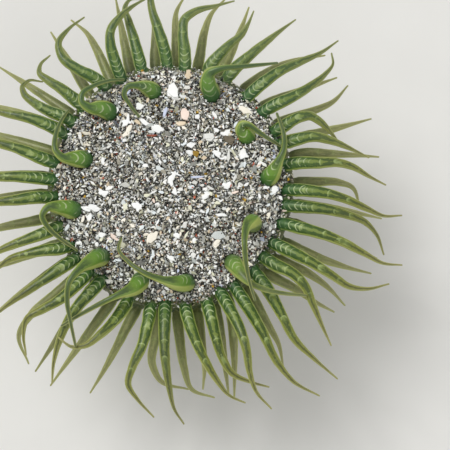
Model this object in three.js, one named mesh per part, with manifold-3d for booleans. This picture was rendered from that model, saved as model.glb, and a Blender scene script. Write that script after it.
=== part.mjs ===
// A burrowing sea anemone at life size, in millimetres, +Z up.
// The origin is the centre of the pedal disc's underside, where the animal stands on the floor.
//
// The column rises from the pedal disc and flares into a crown. Twelve inner tentacles stand on the oral
// disc and arch over its edge, thirty-six upper ones spread from the rim, and thirty-six lower ones spread
// from the collar beneath it. The rim and the collar are each parted into twelve sectors, and three
// tentacles grow from each sector. A cover of shell sand fills the dish of the oral disc.
import * as THREE from "three";
import { mergeVertices } from "three/addons/utils/BufferGeometryUtils.js";
import Module from "manifold-3d";

const { degToRad, lerp, smoothstep } = THREE.MathUtils;
const wasm = await Module();
wasm.setup();

// ---- Driving dimensions ----
const GAP = 0.3; // clear space between neighbouring pieces
const SECTORS = 12; // of the rim, and of the collar
const UP = new THREE.Vector3(0, 0, 1);

const FOOT = { radius: 19, height: 3, bulge: 0.6, taper: 1.4 };
const WAIST = { radius: 14, height: 21 }; // where the lower column meets the upper one
const FLARE = { radius: 29, height: 40 }; // the upper column's top
const WARTS = { rows: 16, depth: 0.5 }; // the rows of sticky bumps down the upper column

const DISC = { radius: 26.1, dishRadius: 19, floorRadius: 8, top: 46.8, dish: 1.2 };
const MOUTH = { length: 7, width: 2.2, depth: 4, lip: 1.1 };

// The collar and the rim above it are rings of oval section.
const COLLAR = { radius: 28.3, height: 42.4, halfWidth: 2.2, halfHeight: 2.4 };
const RIM = { radius: 28.8, height: 47.3, halfWidth: 2, halfHeight: 2.9 };
const RING_CORNERS = 6; // round a ring's section, which is flat on top and beneath
const SECTOR_STEPS = 2; // along a sector

// oval is how much less far the sand reaches at the left and right, and further at the front and back
const SAND = { radius: 27.8, oval: 0.5, lipRadius: 26.9, lip: 49.8, edge: 50.5, top: 51.1, ripple: 0.2 };

// ---- Tentacles ----
// Every tentacle leaves its root along the radius and is turned by a few angles, in degrees, anticlockwise
// from above. lean turns it away from the radius, sweep turns it evenly along its length, and hook is a
// sharper turn centred at the share hookAt of its length. lift tips its first half up, or down.
const HOOK_SPREAD = 0.15; // half the share of the length over which a hook turns

// start is how steeply a tentacle leaves its root, and pitch lists [from, to, turn]: over that share of the
// length it tips up or down by turn degrees. It comes to its lean over the share leanOver. thickness is its
// radius at the share t of its length.
const INNER = {
  sides: 6,
  ringCost: 24,
  jointAt: 4, // the segments of the base length, before those of the tip length
  start: 90,
  pitch: [[0, 0.08, -28], [0.13, 0.3, -28], [0.3, 0.62, -48], [0.7, 1, -8]],
  leanOver: [0.06, 0.24],
  // swollen near the root, and drawn in again at the root itself
  thickness: (t) =>
    0.4 + 0.75 * (1 - t) + 1.25 * (1 - smoothstep(t, 0.18, 0.5)) - 0.45 * (1 - smoothstep(t, 0, 0.1)),
};
const UPPER = {
  sides: 5,
  ringCost: 25,
  // above the rim's outermost point: the ring of roots is a little narrower from left to right
  rootAngle: (bearing, i) => 75 + 40 * Math.cos(2 * degToRad(bearing)) + [-20, 20, -20][i % 3],
  start: 22,
  pitch: [[0, 0.4, -24], [0.4, 1, -12]],
  leanOver: [0, 0.15],
  thickness: (t) => 0.35 + 1.5 * (1 - Math.pow(t, 1.1)),
};
const LOWER = {
  sides: 5,
  ringCost: 33,
  rootAngle: () => -8,
  start: -6,
  pitch: [[0, 1, -12]],
  leanOver: [0, 0.15],
  thickness: (t) => 0.35 + 1.25 * (1 - Math.pow(t, 1.2)),
};
const ROOT_SUNK = 1.3; // how deep inside the rim or the collar a tentacle starts
const TRACE_STEPS = 120; // along a tentacle as its line is traced
// The rings of a tentacle stand about ringCost steps apart, and closer together where it bends.
const BEND_WEIGHT = 14; // steps that a bend of one radian counts for

// One row for each inner tentacle: at (its bearing), out (its root's radius), then
// length, lean, sweep, hook, hookAt, lift.
const INNER_POSES = [
  [3.5, 23.7, 22.5, 46, 33, 28, 0.58, 2],
  [32, 22, 19, 131, 23, -212, 0.37, 8],
  [66, 24.3, 27.5, 76, 10, -140, 0.3, -3],
  [100.5, 23.4, 20, 67, 26, 118, 0.6, 9],
  [130, 23.1, 26, 79, -81, -124, 0.47, -3],
  [164, 21.4, 24.5, 48, -79, -79, 0.45, -3],
  [195, 24.1, 26, -32, 50, 119, 0.48, -3],
  [227, 24.3, 34, -10, 16, 50, 0.54, 8],
  [253.5, 24.2, 29, 16, 6, -67, 0.22, -2],
  [279.5, 24.2, 30.5, -72, -96, -88, 0.96, 9],
  [308, 24.3, 27.5, -18, 35, 36, 0.47, 1],
  [334, 22, 31.5, -123, 45, 35, 0.37, 26],
];

// Three rows for each sector of the rim: at, length, lean, sweep, hook, hookAt, lift.
const UPPER_POSES = [
  [340.4, 33, 10, -30, 44, 0.86, 4],
  [349.4, 31, 12, -35, -40, 0.75, 3],
  [357.2, 30.5, 5, -44, 51, 0.84, 0],

  [10.4, 27, -20, 29, -42, 0.57, 2],
  [20.4, 24.5, -6, -9, -30, 0.42, 2],
  [27.4, 21.5, 11, -37, -57, 0.47, -3],

  [38.8, 26, -24, 40, 69, 0.91, -4],
  [48.8, 28.5, 1, -49, 33, 0.74, -1],
  [63, 25, -20, -4, 0, 0.5, 0],

  [72.6, 21.5, -15, -32, 40, 0.7, -1],
  [83.2, 27.5, 11, 5, -80, 0.5, 1],
  [91.6, 28.5, 10, 19, -23, 0.57, 3],

  [104, 24, -2, 9, -114, 0.82, -3],
  [114.4, 27, 6, -52, -40, 0.49, 13],
  [123, 28, 46, -66, -68, 0.6, 1],

  [138, 20.5, -2, 23, -110, 0.74, 6],
  [146.6, 24, 22, -53, -124, 0.77, -17],
  [154, 27.5, -8, 49, -17, 0.59, -1],

  [169.2, 29, -12, 2, 8, 0.38, 1],
  [177.4, 29.5, -2, 8, 6, 0.49, 0],
  [186, 27.5, -3, 17, -16, 0.5, 0],

  [200.4, 25.5, 24, 14, -30, 0.17, 0],
  [211.8, 24.5, -28, 18, 30, 0.7, -6],
  [218.8, 27, -10, 23, -10, 0.47, 0],

  [227.4, 29.5, 15, -71, 99, 0.71, 3],
  [235.2, 30, -20, 56, -1, 0.72, -2],
  [250.4, 26.5, 0, -52, -62, 0.79, 26],

  [261, 32.5, 10, -54, 91, 0.68, 2],
  [268, 32, -5, 26, 40, 0.95, 4],
  [277, 31, 4, 33, 37, 0.89, 2],

  [287.4, 30.5, -9, 21, 48, 0.66, -2],
  [294.4, 34, 16, -54, 55, 0.79, 12],
  [301.8, 36.5, 3, -17, 44, 0.73, 0],

  [313.6, 35.5, -10, -16, 31, 0.63, 0],
  [321.2, 30, 9, 10, -44, 0.4, 2],
  [329.8, 33, 6, -18, 56, 0.74, 2],
];

// Three rows for each sector of the collar: length, lean, sweep, hook, hookAt, lift.
// Each lower tentacle grows under the space between two upper ones.
const LOWER_POSES = [
  [26, -6, 0, 0, 0.5, 0],
  [25, 4, -8, 0, 0.5, 0],
  [23, -2, 0, -75, 0.72, 0],

  [25.5, 15, 0, -31, 0.19, 0],
  [26, -10, 6, 0, 0.5, 0],
  [25, -12, 0, 30, 0.7, 0],

  [24, -20, 0, 0, 0.5, 0],
  [27, -22, 0, -20, 0.6, 0],
  [24, -6, 12, 0, 0.5, 0],

  [25, 3, 0, -30, 0.68, 0],
  [24, 5, 0, -30, 0.75, 0],
  [24, -8, 0, 20, 0.7, 0],

  [25, -8, 0, 0, 0.5, 0],
  [24, -5, 0, 24, 0.7, 0],
  [24, -10, 0, 0, 0.5, 0],

  [27, 2, 0, 0, 0.5, 0],
  [26, 4, 8, 0, 0.5, 0],
  [29, 0, 0, 0, 0.5, 0],

  [28, 4, 0, 0, 0.5, 0],
  [28, 0, 6, 0, 0.5, 0],
  [27, -4, 0, 16, 0.7, 0],

  [27, -8, 0, 0, 0.5, 0],
  [28, -4, 6, 0, 0.5, 0],
  [32, -4, 0, 74, 0.72, 0],

  [28, 4, 0, 0, 0.5, 0],
  [29, -10, 0, 0, 0.5, 0],
  [26.5, -37, -13, 30, 0.17, 0],

  [28, -2, 0, 84, 0.66, -14],
  [28, 6, 0, 70, 0.76, 6],
  [22, -4, 0, -14, 0.75, 12],

  [25, -10, -4, 0, 0.5, 0],
  [27, -20, -10, 0, 0.5, 0],
  [24, -8, 0, -28, 0.85, 0],

  [23, 25, -23, 16, 0.81, -6],
  [24, 25, -41, 0, 0.8, 2],
  [26, -4, 20, 0, 0.5, 0],
];

// ---- Materials ----
function material(color, roughness) {
  return new THREE.MeshStandardMaterial({ color, roughness, metalness: 0 });
}
const LOOKS = {
  foot: material(0xb9a98c, 0.6),
  column: material(0x9a9670, 0.6),
  collar: material(0x6f7442, 0.5),
  rim: material(0x4f7a3c, 0.45),
  disc: material(0x5b7d46, 0.45),
  lips: material(0x8f9a6a, 0.45),
  tentacle: material(0x4d8a3a, 0.4),
  sand: material(0xb4b1a8, 0.9),
};

// ---- Solids ----
/** A three.js geometry as a manifold solid. */
function solid(geometry) {
  const bare = geometry.clone();
  bare.deleteAttribute("normal");
  bare.deleteAttribute("uv");
  const merged = mergeVertices(bare, 1e-4);
  return new wasm.Manifold(
    new wasm.Mesh({
      numProp: 3,
      vertProperties: new Float32Array(merged.attributes.position.array),
      triVerts: new Uint32Array(merged.index.array),
    }),
  );
}

/** A manifold solid as a named mesh. */
function named(name, shape, look) {
  const { vertProperties, numProp, triVerts } = shape.getMesh();
  const geometry = new THREE.BufferGeometry()
    .setAttribute("position", new THREE.BufferAttribute(vertProperties, numProp))
    .setIndex(new THREE.BufferAttribute(triVerts, 1));
  geometry.computeVertexNormals();
  const mesh = new THREE.Mesh(geometry, look);
  mesh.name = name;
  return mesh;
}

/** A solid of revolution about +Z. Its profile lists [radius, height] anticlockwise, from axis to axis. */
function turned(profile, sides, reshape = (radius) => radius) {
  const points = profile.map(([radius, height]) => new THREE.Vector2(radius, height));
  const lathe = new THREE.LatheGeometry(points, sides).rotateX(Math.PI / 2);
  const position = lathe.attributes.position;
  for (let i = 0; i < position.count; i++) {
    const radius = Math.hypot(position.getX(i), position.getY(i));
    if (radius < 1e-6) continue;
    const bearing = Math.atan2(position.getY(i), position.getX(i));
    const scale = reshape(radius, bearing, position.getZ(i)) / radius;
    position.setXY(i, position.getX(i) * scale, position.getY(i) * scale);
  }
  return solid(lathe);
}

/** Joins stations into a closed tube of oval section, cut flat at its ends or drawn out to a tip. */
function swept(stations, sides, tipLength = 0) {
  const positions = [];
  const triangles = [];
  for (const { point, direction, side, width, height } of stations) {
    const upward = direction.clone().cross(side);
    for (let k = 0; k < sides; k++) {
      const around = (2 * Math.PI * k) / sides;
      const corner = point.clone();
      corner.addScaledVector(side, width * Math.cos(around));
      corner.addScaledVector(upward, height * Math.sin(around));
      positions.push(...corner);
    }
  }
  const last = stations[stations.length - 1];
  positions.push(...last.point.clone().addScaledVector(last.direction, tipLength));
  const tip = stations.length * sides;
  const end = tip - sides;
  for (let k = 0; k < sides; k++) {
    const next = (k + 1) % sides;
    for (let r = 0; r < end; r += sides) {
      triangles.push(r + k, r + next, r + next + sides, r + k, r + next + sides, r + k + sides);
    }
    if (k > 0 && next > 0) triangles.push(0, next, k);
    if (tipLength > 0) triangles.push(tip, end + k, end + next);
    else if (k > 0 && next > 0) triangles.push(end, end + k, end + next);
  }
  const geometry = new THREE.BufferGeometry();
  geometry.setAttribute("position", new THREE.Float32BufferAttribute(positions, 3));
  return solid(geometry.setIndex(triangles));
}

// ---- Column ----
function foot() {
  const top = FOOT.height - GAP / 2;
  return turned(
    [[0, 0], [FOOT.radius, 0], [FOOT.radius + FOOT.bulge, 1], [FOOT.radius - FOOT.taper, top], [0, top]],
    24,
  );
}

/** The points of a column's outline between two heights, its radius eased by a power of the share. */
function outline(shares, from, to, fromRadius, toRadius, power) {
  return shares.map((t) => [lerp(fromRadius, toRadius, Math.pow(t, power)), lerp(from, to, t)]);
}

function lowerColumn() {
  const from = FOOT.height + GAP / 2;
  const to = WAIST.height - GAP / 2;
  const side = outline([0, 0.4, 1], from, to, FOOT.radius - FOOT.taper, WAIST.radius, 0.45);
  return turned([[0, from], ...side, [0, to]], 24);
}

/** The upper column flares to the crown, and rows of sticky bumps run down it. */
function upperColumn() {
  const from = WAIST.height + GAP / 2;
  const side = outline([0, 0.4, 0.75, 1], from, FLARE.height, WAIST.radius, FLARE.radius, 2.4);
  const warty = (radius, bearing, height) => {
    const share = smoothstep(height, WAIST.height, FLARE.height);
    return radius + WARTS.depth * share * Math.cos(WARTS.rows * bearing);
  };
  return turned([[0, from], ...side, [0, FLARE.height]], 2 * WARTS.rows, warty);
}

// ---- Oral disc ----
/** The mouth's oval, some millimetres larger all round, as an upright prism. */
function mouthPrism(grow, from, to) {
  const oval = new THREE.Shape();
  oval.absellipse(0, 0, MOUTH.length / 2 + grow, MOUTH.width / 2 + grow, 0, 2 * Math.PI);
  const prism = new THREE.ExtrudeGeometry(oval, { depth: to - from, bevelEnabled: false, curveSegments: 6 });
  return solid(prism.translate(0, 0, from));
}

const DISH_FLOOR = DISC.top - DISC.dish;
const LIPS_TOP = DISH_FLOOR + GAP + MOUTH.lip;

function oralDisc() {
  const bottom = FLARE.height + GAP;
  const neck = DISC.radius - 0.6;
  const edge = [[neck, bottom], [neck, RIM.height - RIM.halfHeight], [DISC.radius, DISC.top]];
  const dish = [[DISC.dishRadius, DISC.top], [DISC.floorRadius, DISH_FLOOR], [0, DISH_FLOOR]];
  const plate = turned([[0, bottom], ...edge, ...dish], 24);
  return plate.subtract(mouthPrism(0, DISH_FLOOR - MOUTH.depth, DISC.top));
}

function mouthLips() {
  const lips = mouthPrism(MOUTH.lip, DISH_FLOOR + GAP, LIPS_TOP);
  return lips.subtract(mouthPrism(0, DISH_FLOOR, LIPS_TOP + GAP));
}

/** The sand lies in the dish and on the inner flank of the rim, and the inner tentacles stand through it. */
function sandCover(innerLines) {
  const overMouth = [[0, LIPS_TOP], [MOUTH.length, LIPS_TOP]];
  const under = [...overMouth, [DISC.dishRadius, DISC.top], [DISC.radius, DISC.top]];
  const lifted = under.map(([radius, height]) => [radius, height + GAP]);
  const rimSide = [[SAND.lipRadius, SAND.lip], [SAND.radius, SAND.edge]];
  const over = [...rimSide, [SAND.radius / 2, SAND.top], [0, SAND.top]];
  const ragged = (radius, bearing) => {
    const wander = Math.sin(5 * bearing) + 0.6 * Math.sin(11 * bearing + 1);
    if (radius <= SAND.lipRadius) return radius;
    return radius + SAND.ripple * wander - SAND.oval * Math.cos(2 * bearing);
  };
  const cover = turned([...lifted, ...over], 24, ragged);
  return innerLines.reduce((left, { stations }) => {
    const [root, ...above] = stations.slice(0, INNER.jointAt);
    const below = { ...root, point: root.point.clone().setZ(root.point.z - GAP) };
    return left.subtract(tube({ stations: [below, ...above] }, INNER.sides, GAP));
  }, cover);
}

// ---- Tentacles ----
/** Traces a tentacle from its root: its points, directions, sides and thickness at even steps. */
function trace(kind, root, at, [length, lean, sweep, hook, hookAt, lift]) {
  const point = root.clone();
  const side = UP.clone().cross(root).normalize();
  const line = [];
  for (let i = 0; i <= TRACE_STEPS; i++) {
    const t = i / TRACE_STEPS;
    const bend = smoothstep(t, hookAt - HOOK_SPREAD, hookAt + HOOK_SPREAD);
    const leaning = smoothstep(t, ...kind.leanOver);
    const heading = degToRad(at + lean * leaning + sweep * t + hook * bend);
    let tilt = kind.start + lift * (smoothstep(t, 0, 0.2) - smoothstep(t, 0.35, 0.75));
    for (const [from, to, turn] of kind.pitch) tilt += turn * smoothstep(t, from, to);
    const level = Math.cos(degToRad(tilt));
    const rise = Math.sin(degToRad(tilt));
    const direction = new THREE.Vector3(level * Math.cos(heading), level * Math.sin(heading), rise);
    side.projectOnPlane(direction).normalize(); // carried along, so that the tube never twists
    const width = kind.thickness(t);
    line.push({ point: point.clone(), direction, side: side.clone(), width, height: width });
    point.addScaledVector(direction, length / TRACE_STEPS);
  }
  return line;
}

/** Picks the stations of a line where rings are set, closer together where it bends. */
function stationsOf(line, ringCost) {
  const cost = [0];
  for (let i = 1; i < line.length; i++) {
    const turn = line[i].direction.angleTo(line[i - 1].direction);
    cost.push(cost[i - 1] + 1 + BEND_WEIGHT * turn);
  }
  const total = cost[cost.length - 1];
  const segments = Math.round(total / ringCost);
  return Array.from({ length: segments + 1 }, (_, k) => {
    const wanted = (total * k) / segments;
    return line[cost.findIndex((sum) => sum >= wanted - 1e-6)];
  });
}

/** A tentacle's whole tube, some millimetres fatter than its thickness, with a rounded tip. */
function tube({ stations }, sides, grow = 0) {
  const fatter = stations.map((one) => ({ ...one, width: one.width + grow, height: one.height + grow }));
  return swept(fatter, sides, fatter[fatter.length - 1].width);
}

/** The point inside a ring's oval section at a bearing, and at an angle above its outermost point. */
function rootOn(ring, bearing, above) {
  const out = (ring.halfWidth - ROOT_SUNK) * Math.cos(degToRad(above));
  const rise = (ring.halfHeight - ROOT_SUNK) * Math.sin(degToRad(above));
  return new THREE.Vector3(ring.radius + out, 0, ring.height + rise).applyAxisAngle(UP, degToRad(bearing));
}

/** The bearing half way from one upper tentacle to the next one round the crown. */
function between(i) {
  const from = UPPER_POSES[(i + UPPER_POSES.length) % UPPER_POSES.length][0];
  const to = UPPER_POSES[(i + 1) % UPPER_POSES.length][0];
  return from + ((to - from + 360) % 360) / 2;
}

const innerLines = INNER_POSES.map(([at, out, ...pose]) => {
  const root = new THREE.Vector3(out, 0, DISC.top + GAP).applyAxisAngle(UP, degToRad(at));
  const line = trace(INNER, root, at, pose);
  return { line, stations: stationsOf(line, INNER.ringCost) };
});
const upperLines = UPPER_POSES.map(([at, ...pose], i) => {
  const line = trace(UPPER, rootOn(RIM, at, UPPER.rootAngle(at, i)), at, pose);
  return { line, stations: stationsOf(line, UPPER.ringCost) };
});
const lowerLines = LOWER_POSES.map((pose, i) => {
  const line = trace(LOWER, rootOn(COLLAR, between(i), LOWER.rootAngle()), between(i), pose);
  return { line, stations: stationsOf(line, LOWER.ringCost) };
});

/** The sector of a ring between two bearings, short of each by half a gap, with its tentacles joined on. */
function sector(ring, kind, from, to, lines) {
  const trim = GAP / 2 / (ring.radius - ring.halfWidth);
  const start = degToRad(from) + trim;
  const turn = degToRad((to - from + 360) % 360) - 2 * trim;
  const stations = Array.from({ length: SECTOR_STEPS + 1 }, (_, k) => {
    const bearing = start + (turn * k) / SECTOR_STEPS;
    const outward = new THREE.Vector3(Math.cos(bearing), Math.sin(bearing), 0);
    const point = outward.clone().multiplyScalar(ring.radius).setZ(ring.height);
    const direction = new THREE.Vector3(-outward.y, outward.x, 0);
    return { point, direction, side: outward, width: ring.halfWidth, height: ring.halfHeight };
  });
  return lines.reduce((joined, line) => joined.add(tube(line, kind.sides)), swept(stations, RING_CORNERS));
}

// ---- Assembly ----
const group = new THREE.Group();
group.add(
  named("pedal_disc", foot(), LOOKS.foot),
  named("column_lower", lowerColumn(), LOOKS.column),
  named("column_upper", upperColumn(), LOOKS.column),
  named("oral_disc", oralDisc(), LOOKS.disc),
  named("mouth_lips", mouthLips(), LOOKS.lips),
  named("sand_cover", sandCover(innerLines), LOOKS.sand),
);

const twoDigits = (i) => String(i + 1).padStart(2, "0");

innerLines.forEach(({ stations }, i) => {
  const base = stations.slice(0, INNER.jointAt + 1);
  const tip = stations.slice(INNER.jointAt);
  tip[0] = { ...tip[0], point: tip[0].point.clone().addScaledVector(tip[0].direction, GAP) };
  const name = `tentacle_inner_${twoDigits(i)}`;
  group.add(
    named(`${name}_base`, swept(base, INNER.sides), LOOKS.tentacle),
    named(`${name}_tip`, tube({ stations: tip }, INNER.sides), LOOKS.tentacle),
  );
});

for (let k = 0; k < SECTORS; k++) {
  const first = 3 * k;
  const after = first + 3;
  const rim = sector(RIM, UPPER, between(first - 1), between(first + 2), upperLines.slice(first, after));
  const [from, to] = [UPPER_POSES[first][0], UPPER_POSES[after % UPPER_POSES.length][0]];
  const collar = sector(COLLAR, LOWER, from, to, lowerLines.slice(first, after));
  group.add(
    named(`rim_sector_${twoDigits(k)}`, rim, LOOKS.rim),
    named(`collar_sector_${twoDigits(k)}`, collar, LOOKS.collar),
  );
}

export default group;
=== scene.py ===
"""The looks of a burrowing sea anemone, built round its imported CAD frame.

One skin replaces all nodes of flesh. It is made by tubes that follow the CAD tentacles, joined to a
turned body, and its markings are worked out from how far along and how far round a tentacle a point
lies. A bed and many small grains replace the cover of shell sand. Everything is in metres.
"""

import math

import bmesh
import bpy
import numpy as np
from mathutils import Matrix, Vector, noise
from mathutils.bvhtree import BVHTree
from mathutils.kdtree import KDTree


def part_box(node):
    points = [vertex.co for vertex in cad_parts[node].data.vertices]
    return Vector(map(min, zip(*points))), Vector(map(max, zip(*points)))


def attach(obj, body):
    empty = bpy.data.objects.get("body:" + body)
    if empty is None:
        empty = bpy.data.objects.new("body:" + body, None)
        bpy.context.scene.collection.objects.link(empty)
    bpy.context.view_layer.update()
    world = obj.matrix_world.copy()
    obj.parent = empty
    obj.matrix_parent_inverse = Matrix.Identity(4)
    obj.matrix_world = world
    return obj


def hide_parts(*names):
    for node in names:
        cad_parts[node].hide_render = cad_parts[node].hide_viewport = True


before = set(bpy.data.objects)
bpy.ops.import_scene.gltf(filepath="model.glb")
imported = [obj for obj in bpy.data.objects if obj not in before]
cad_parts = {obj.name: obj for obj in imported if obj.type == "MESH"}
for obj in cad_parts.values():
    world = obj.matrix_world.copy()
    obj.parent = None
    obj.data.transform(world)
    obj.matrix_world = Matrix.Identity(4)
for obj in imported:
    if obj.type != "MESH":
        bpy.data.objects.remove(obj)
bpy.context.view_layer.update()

MM = 0.001
DOWN = Vector((0, 0, -1))
FLESH_NODES = sorted(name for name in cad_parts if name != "sand_cover")

# ---- Sizes read from the CAD ----
SAND_LOW, SAND_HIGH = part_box("sand_cover")
HALF_WIDTH = (SAND_HIGH.x - SAND_LOW.x) / 2
HALF_DEPTH = (SAND_HIGH.y - SAND_LOW.y) / 2
SAND_RADIUS = (HALF_WIDTH + HALF_DEPTH) / 2
SAND_OVAL = (HALF_DEPTH - HALF_WIDTH) / 2  # how much further it reaches to front and back
DISC_RADIUS, _, DISC_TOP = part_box("oral_disc")[1]

# ---- Studio sizes ----
PICTURE_WIDTH = 112.5 * MM  # what the frame spans, at the height of the oral disc
CAMERA_DISTANCE = 0.6
LOOK_DOWN = math.radians(80)  # below the horizon
CROWN_LEFT = 13.6 * MM  # how far the crown's centre is left of the frame's
CROWN_ABOVE = 9.6 * MM  # and how far above it
# Name, place, size across and power
LIGHTS = [("key", (-0.7, 0.6, 1.5), 0.7, 16.5), ("fill", (0.8, -0.7, 1.2), 0.9, 3)]
LIT_PLACE = (0, 0, 0.04)
WORLD_LIGHT = 0.5  # where white to the camera is 1
FLOOR_REACH = 3.0  # from its middle to each side

# ---- Sizes of the skin ----
CAD_SIDES = {"inner": 6, "upper": 5, "lower": 5}  # corners in a ring of a CAD tentacle
TUBE_SIDES = {"inner": 20, "upper": 14, "lower": 12}
TUBE_ROWS = {"inner": 60, "upper": 44, "lower": 36}
TIER = {"inner": 0.0, "upper": 0.5, "lower": 1.0}  # the number that the material knows a tier by
TIP_ROWS = 3  # rings that round off a tentacle's tip
TIP_POINT = 0.3  # how far its last point stands past them, as a share of the tip's radius
# How much thinner the skin is than the solid at a tentacle's tip, as a share
TIP_THINNING = {"inner": 0.15, "upper": 0.4, "lower": 0.35}
THINNING_FROM = 0.6  # the share of a tentacle's length where that starts
TIP_EDGE = 0.8 * MM  # longer than any edge that meets at a CAD tentacle's tip
UPWARD_PULL = 0.15  # of a tentacle's oral side, from each ring to the next
ROOT_DEPTH = 2.5 * MM  # how far a tube starts inside the rim or the collar
ROOT_TAPER = 0.4  # how much of the taper at its foot it carries on with there
FLATNESS = {"inner": 1, "upper": 0.9, "lower": 0.9}  # a tentacle's height as a share of its width
SWELL = 0.05  # how far its thickness wanders along it, as a share
LUMPS = 0.06  # how far its surface does, along and round it

BODY_COLUMNS = 256  # points in a ring of the body
ROW_STEP = 0.65 * MM  # from one of its rings to the next
# The margin's outline, in millimetres out and up from the top edge of the flared column
MARGIN = [(1.1, 1.4), (1.5, 2.7), (0.7, 4.1), (0.8, 5.0), (1.6, 6.3)]
MARGIN += [(1.7, 7.6), (0.8, 8.9), (-0.5, 9.3), (-1.9, 8.5)]
DISC_DIP = 1.2 * MM  # how deep the disc is dished
WART_ROWS = 32
WART_STEP = 2.3 * MM
WART_WIDTH = 0.85 * MM
WART_HEIGHT = 0.55 * MM
FOOT_SCALLOPS = 48
WELD = 0.04 * MM  # points of the skin closer than this become one
SEAM_REACH = 1.1 * MM  # how far from a tentacle's root the skin is smoothed
SEAM_ROUNDS = 14

# ---- Sizes of the shell sand ----
SAND_EDGE = SAND_RADIUS + 0.8 * MM
SAND_RIPPLE = 0.3 * MM
BED_DEPTH = 0.9 * MM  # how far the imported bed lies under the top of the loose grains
# How far under the top each layer lies, and how light its grains are, as a share of the top ones: painted
# shade, darker for the deeper layers that lie in shade
GRAIN_LAYERS = [(0.75 * MM, 0.65), (0.45 * MM, 0.88), (0.15 * MM, 1)]
GRAIN_SPACING = 0.45 * MM
GRAIN_SIZE = 0.56 * MM
GRAIN_CORNERS = 8
FLAKE_SPACING = 1.2 * MM
FLAKE_SIZE = 1.1 * MM
RIM_SPACING = 0.4 * MM  # of the loose grains on the rim, between the tentacles' roots
RIM_REACH = 2.6 * MM  # how far past the bed's edge they thin out
RIM_GRAIN_SIZE = 0.62 * MM
SIZE_SPREAD = 0.3  # of the grains, as the spread of a lognormal size
MAP_MARGIN = 4 * MM  # round the sand's edge on the bake map
SHAPES = 40  # different shapes of grain, and of flake
PATCH_SIZE = 0.003  # of a grain on the bake map
PATCH_LEAN = [0.31, 0.23]  # so that a grain's upright sides have some width there too
# How light each kind of large flake is, and the place of its hue on the ramp of tints
FLAKE_LOOKS = {
    "white": (0.97, 0.1),
    "cream": (0.93, 0.4),
    "peach": (0.93, 0.935),
    "grey": (0.74, 0.1),
    "blue": (0.84, 0.955),
    "brown": (0.3, 0.9),
    "brick": (0.5, 0.975),
    "ochre": (0.55, 0.99),
}
SLIVER = 0.35  # a large bit whose width is a smaller share of its length is one plate
PLATES = 3  # that overlap in a broader bit
# The largest bits of shell: millimetres right and up in plan, length, width, turn in degrees, kind
NOTABLE = [
    (0.2, 24.2, 5.4, 3.8, -68, "white"),
    (3.4, 17.4, 3.4, 2.5, 60, "peach"),
    (-3.3, 13.8, 3.8, 2.1, -25, "white"),
    (-6.8, 15.8, 3.6, 1.3, -40, "white"),
    (-10.9, 15.8, 4.0, 1.5, 60, "white"),
    (-10.6, 13.2, 3.3, 1.8, 65, "cream"),
    (-7.9, 19.5, 2.3, 1.9, 20, "white"),
    (-13.5, 18.5, 3.3, 0.9, 70, "white"),
    (-1.4, 17.9, 3.0, 1.0, 75, "blue"),
    (6.5, 16.9, 1.5, 1.4, 0, "white"),
    (6.2, 7.3, 2.0, 1.8, 70, "ochre"),
    (-4.5, 12.1, 2.8, 0.8, 0, "brick"),
    (0.4, 1.1, 3.3, 1.6, 75, "white"),
    (6.5, 1.6, 4.2, 0.6, 3, "blue"),
    (1.1, 2.4, 3.2, 0.5, -20, "white"),
    (18.8, 18.8, 3.5, 2.1, -25, "cream"),
    (14.8, 11.2, 3.3, 2.3, -40, "brown"),
    (14.1, 12.7, 2.9, 1.6, 30, "white"),
    (11.6, 7.8, 2.9, 1.7, -20, "white"),
    (9.8, 11.5, 3.1, 2.0, -35, "grey"),
    (14.5, 6.7, 3.5, 1.0, 85, "grey"),
    (18.1, 6.8, 2.9, 1.3, 5, "white"),
    (25.9, -2.0, 2.7, 2.0, 60, "white"),
    (9.0, -3.1, 3.1, 1.4, 45, "white"),
    (13.9, -0.6, 3.0, 1.6, 10, "white"),
    (-8.0, -5.7, 3.1, 2.1, -50, "white"),
    (-19.2, -6.1, 3.5, 1.9, 0, "white"),
    (-17.0, -2.1, 3.7, 1.5, -15, "white"),
    (-4.5, -13.3, 4.1, 2.3, 50, "cream"),
    (1.6, -13.2, 2.7, 1.7, -40, "white"),
    (0.5, -18.9, 3.1, 1.3, -45, "white"),
    (11.6, -15.3, 2.4, 2.0, 60, "cream"),
    (12.6, -8.0, 2.9, 1.0, -10, "white"),
    (-5.4, -25.2, 3.2, 1.2, 75, "white"),
    (-17.0, -13.0, 2.5, 1.6, -30, "white"),
]

# ---- Colours, as they look on a screen from 0 to 255 ----
# Along a tentacle, from its root at 0 to its tip at 1
UPPER_COLORS = {
    0.0: (44, 84, 38),
    0.12: (78, 112, 42),
    0.28: (106, 125, 47),
    0.6: (117, 123, 52),
    1: (148, 144, 88),
}
INNER_COLORS = {
    0.0: (62, 106, 42),
    0.16: (84, 126, 48),
    0.26: (102, 140, 46),
    0.36: (112, 138, 54),
    0.6: (100, 116, 50),
    1: (132, 134, 88),
}
LOWER_COLORS = {0.0: (84, 92, 50), 0.25: (136, 140, 88), 1: (152, 152, 98)}
STREAK_COLORS = {0.0: (32, 70, 28), 0.25: (40, 74, 20), 0.6: (54, 66, 20), 0.9: (82, 82, 36)}
# The pale edges: partly a marking, and partly painted glow of light through the thin rims, lighter where
# the sides face away from the lamps
EDGE_AND_RIM_GLOW_COLORS = {0.1: (182, 196, 104), 0.6: (172, 178, 98), 1: (172, 174, 108)}
# Up the column, from the floor at 0 to this height at 1
COLUMN_SPAN = 50 * MM
COLUMN_COLORS = {
    0.0: (186, 164, 132),
    0.1: (176, 154, 118),
    0.35: (150, 138, 96),
    0.62: (112, 112, 68),
    0.85: (84, 92, 48),
}
# The disc's green fades in between two heights and two radii: on the margin, and in the dish
GREEN_PARTS = [
    ((46.2 * MM, 47.4 * MM), (30.0 * MM, 28.5 * MM)),
    ((40.5 * MM, 41.2 * MM), (27.2 * MM, 26.2 * MM)),
]
DISC_RAYS = 24
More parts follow.
